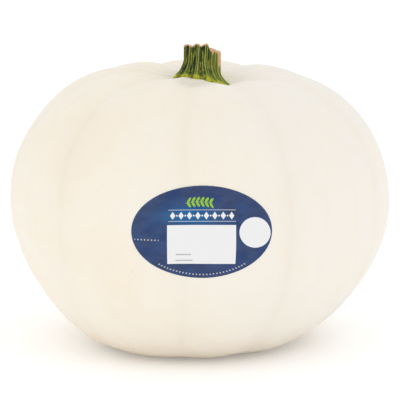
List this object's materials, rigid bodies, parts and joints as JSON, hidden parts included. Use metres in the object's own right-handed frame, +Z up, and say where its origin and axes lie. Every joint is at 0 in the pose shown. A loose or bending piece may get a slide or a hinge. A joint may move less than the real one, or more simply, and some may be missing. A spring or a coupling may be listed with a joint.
{
  "type": "ghost pumpkin",
  "caption": "Round white pumpkin with shallow ribs, a little wider than tall, with a short fluted stump of its cut stem on top and a blank oval blue paper label on the front.",
  "frame": {"origin": "the middle of the bounding box's footprint, on the surface that the pumpkin stands on", "axes": "+Z up along the growing axis towards the stem, -Y towards the viewer on the side with the label, +X to the viewer's right"},
  "size_m": [0.2352, 0.2306, 0.1866],
  "materials": {
    "rind": "satin, cream white",
    "green_stem": "satin, olive green with lighter ridges and a tan cut end",
    "label_paper": "semi-gloss printed paper, deep blue with white panels"
  },
  "bodies": {
    "root": {"fruit": "rind", "stem": "green_stem", "label": "label_paper"}
  },
  "joints": []
}
